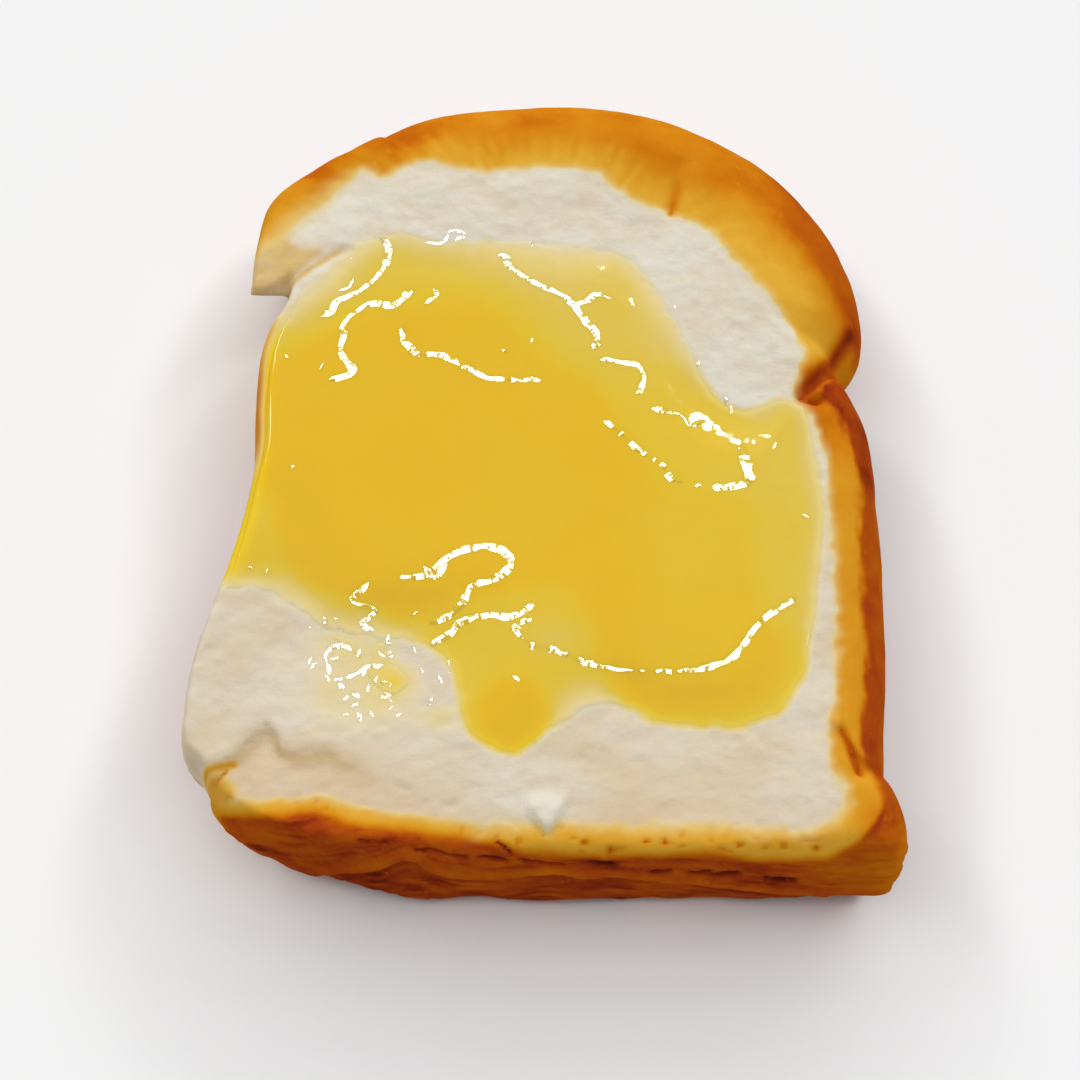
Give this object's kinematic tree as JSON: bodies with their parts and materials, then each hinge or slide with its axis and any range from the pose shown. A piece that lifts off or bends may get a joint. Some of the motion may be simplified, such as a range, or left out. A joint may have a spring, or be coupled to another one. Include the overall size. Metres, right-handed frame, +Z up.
{
  "type": "slice of milk bread with custard spread",
  "caption": "Thick mountain-top slice of soft milk bread lying flat, torn crumb face up, under a glossy yellow custard spread.",
  "frame": {"origin": "centre of the bounding box's bottom face, under the middle of the slice, on the surface it lies on", "axes": "+Z up through the slice's thickness, +Y from the heel to the domed end, +X to the right as the picture shows it"},
  "size_m": [0.1068, 0.1364, 0.0299],
  "materials": {
    "bread": "satin golden brown crust with a soft, matt, off-white torn crumb on the upper face",
    "custard": "wet, glossy, slightly translucent yellow custard"
  },
  "bodies": {
    "root": {"milk_bread": "bread", "custard_spread": "custard"}
  },
  "joints": []
}
